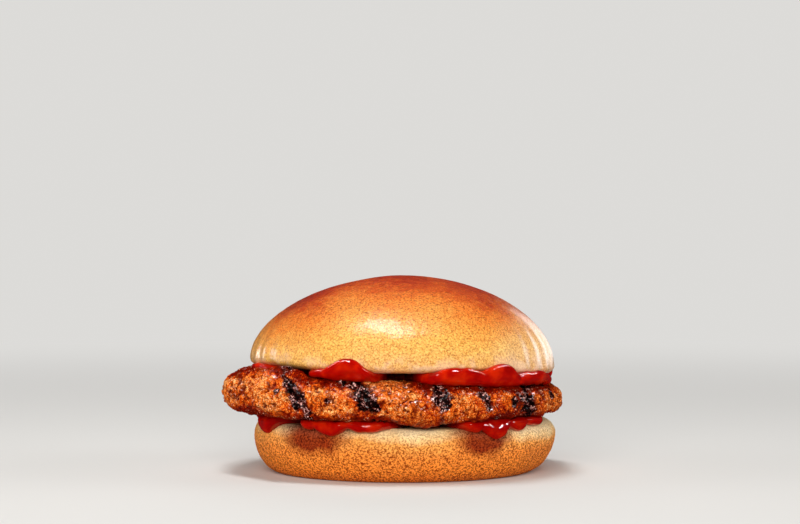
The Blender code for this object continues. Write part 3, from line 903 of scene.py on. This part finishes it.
def make_stage(name, rows, paint, hub):
    """A surface turned round +Z through rows of radius and height, closed at the middle with a hub."""
    count = STAGE_AROUND
    verts = [tuple(polar(r, 360 * i / count, z)) for r, z in rows for i in range(count)]
    faces = [(k * count + i, (k + 1) * count + i, (k + 1) * count + (i + 1) % count,
              k * count + (i + 1) % count) for k in range(len(rows) - 1) for i in range(count)]
    if hub:
        faces.append(tuple(range(count)))
    mesh = bpy.data.meshes.new(name)
    mesh.from_pydata(verts, [], faces)
    mesh.update()
    mesh.shade_smooth()
    made = bpy.data.objects.new(name, mesh)
    bpy.context.scene.collection.objects.link(made)
    made.data.materials.append(paint)
    return made


paint = stage_paint()
flat_end = BACKDROP_RADIUS - BACKDROP_CURVE
backdrop_rows = [(r, 0.0) for r in spaced(FLOOR_RADIUS, flat_end, 5)]
backdrop_rows += [(flat_end + BACKDROP_CURVE * math.sin(math.radians(t)),
                   BACKDROP_CURVE - BACKDROP_CURVE * math.cos(math.radians(t)))
                  for t in spaced(6, 90, 15)]
backdrop_rows.append((BACKDROP_RADIUS, BACKDROP_TOP))
floor_rows = [(r, 0.0) for r in spaced(FLOOR_HUB, FLOOR_RADIUS, 4)]
floor = make_stage("floor", floor_rows, paint, hub=True)
backdrop = make_stage("backdrop", backdrop_rows, paint, hub=False)
backdrop.visible_diffuse = False


def softbox(name, place, size, watts, colour=(1, 1, 1)):
    """A rectangular lamp that faces the sandwich."""
    lamp = bpy.data.lights.new(name, "AREA")
    lamp.shape = "RECTANGLE"
    lamp.size, lamp.size_y = size
    lamp.energy = watts
    lamp.color = colour
    made = bpy.data.objects.new(name, lamp)
    made.location = place
    made.rotation_euler = (LAMP_AIM - Vector(place)).to_track_quat("-Z", "Y").to_euler()
    bpy.context.scene.collection.objects.link(made)
    return made


def shine_on(lamp, *names):
    """The lamp lights these pieces alone."""
    chosen = bpy.data.collections.new(lamp.name + "_on")
    for name in names:
        chosen.objects.link(bpy.data.objects[name])
    lamp.light_linking.receiver_collection = chosen


# The large lamps light everything, but only the ones after them are mirrored in what is glossy.
key = softbox("key_above", (-0.08, -0.06, 0.75), (0.36, 0.14), 3.2)
fill = softbox("fill_front", (-0.10, -1.15, 0.46), (0.9, 0.6), 13.5, (1.0, 0.97, 0.93))
fill_right = softbox("fill_right", (1.0, -0.05, 0.35), (0.6, 0.6), 3.8)
fill_left = softbox("fill_left", (-1.0, -0.05, 0.35), (0.6, 0.6), 2.6)
fill_low = softbox("fill_low", (-0.9, -0.5, 0.15), (0.4, 0.4), 2.4)
shine_on(fill_low, "sausage_patty", "sauce_under_patty", "sauce_over_patty")
back = softbox("back", (0.0, 1.0, 0.62), (0.9, 0.5), 3.0)
for large in (key, fill, fill_right, fill_left, fill_low, back, floor, backdrop):
    large.visible_glossy = False
gloss_top = softbox("gloss_top", (-0.08, -0.06, 0.73), (0.38, 0.15), 2.1, (1.0, 0.985, 1.0))
gloss_right = softbox("gloss_right", (0.60, 0.78, 0.17), (0.8, 0.3), 1.75)
gloss_left = softbox("gloss_left", (-0.80, 0.52, 0.13), (0.08, 0.26), 0.9)
for lamp in (gloss_top, gloss_left):
    lamp.visible_diffuse = False
for lamp in (gloss_top, gloss_right, gloss_left):
    shine_on(lamp, "bun_crown")
# Small lamps all round, each a small bright spot on the patty, and tall narrow ones for the sauce,
# whose rims are narrow and need a tall lamp to show a spot of some height.
for turn, watts in ((205, 1.6), (238, 1.6), (268, 1.6), (300, 1.6), (338, 1.6), (30, 0.5), (90, 0.5),
                    (150, 0.5)):
    spot = softbox(f"glint_{turn}", polar(0.62, turn, 0.58), (0.08, 0.07), watts)
    spot.visible_diffuse = False
    shine_on(spot, "sausage_patty")
for turn in (165, 225, 313, 354, 28, 90):
    strip = softbox(f"strip_{turn}", polar(0.60, turn, 0.60), (0.045, 0.34), 2.3)
    strip.visible_diffuse = False
    shine_on(strip, "sauce_under_patty", "sauce_over_patty")

world = bpy.data.worlds.new("studio")
world.use_nodes = True
sky = world.node_tree.nodes["Background"].inputs
sky["Color"].default_value = (1, 0.985, 0.97, 1)
sky["Strength"].default_value = WORLD_STRENGTH
bpy.context.scene.world = world
bpy.context.scene.view_settings.view_transform = "Standard"

# The camera stands 0.9 m off, 4 degrees up, and looks a little above the sandwich, which is then low
# and just right of the middle of the 800 x 524 frame.
FRAME_WIDTH, FRAME_HEIGHT = 800, 524
FOCAL_PIXELS = 2677
SENSOR_WIDTH = 36  # in mm
SEEN_AT = (402.3, 372.4)  # where the frame shows the middle of the bun, at that height
AIM_HEIGHT = 32.45 * MM
CAMERA_DISTANCE = 0.9
CAMERA_RISE = math.radians(4.0)

camera_data = bpy.data.cameras.new("camera")
camera_data.sensor_width = SENSOR_WIDTH
camera_data.lens = FOCAL_PIXELS / FRAME_WIDTH * SENSOR_WIDTH
camera = bpy.data.objects.new("camera", camera_data)
camera.location = (
    SHIFT[0],
    SHIFT[1] - CAMERA_DISTANCE * math.cos(CAMERA_RISE),
    AIM_HEIGHT + CAMERA_DISTANCE * math.sin(CAMERA_RISE),
)
tip = math.atan((SEEN_AT[1] - FRAME_HEIGHT / 2) / FOCAL_PIXELS)
pan = math.atan((SEEN_AT[0] - FRAME_WIDTH / 2) / FOCAL_PIXELS)
camera.rotation_euler = (math.pi / 2 - CAMERA_RISE + tip, 0, pan)
bpy.context.scene.collection.objects.link(camera)
bpy.context.scene.camera = camera
